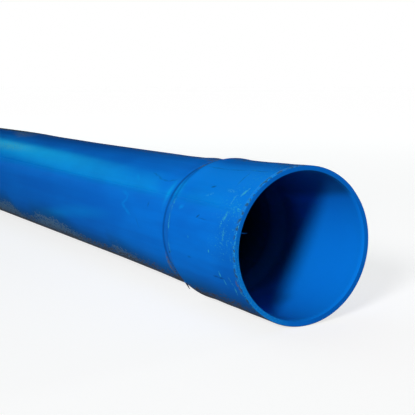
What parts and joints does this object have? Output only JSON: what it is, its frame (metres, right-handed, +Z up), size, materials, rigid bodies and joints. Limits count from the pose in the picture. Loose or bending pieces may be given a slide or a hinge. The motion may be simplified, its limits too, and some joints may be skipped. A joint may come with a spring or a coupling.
{
  "type": "borehole casing pipe",
  "caption": "Thick-walled plastic well casing tube, plain spigot at one end and a belled push-on socket with a short conical shoulder at the other.",
  "frame": {"origin": "on the pipe's axis, at the spigot's end face", "axes": "+X along the pipe's axis towards the socket's mouth, +Z up as the pipe lies on a floor"},
  "size_m": [3, 0.1798, 0.1798],
  "materials": {
    "blue_pvc": "satin"
  },
  "bodies": {
    "root": {"casing_pipe": "blue_pvc"}
  },
  "joints": []
}
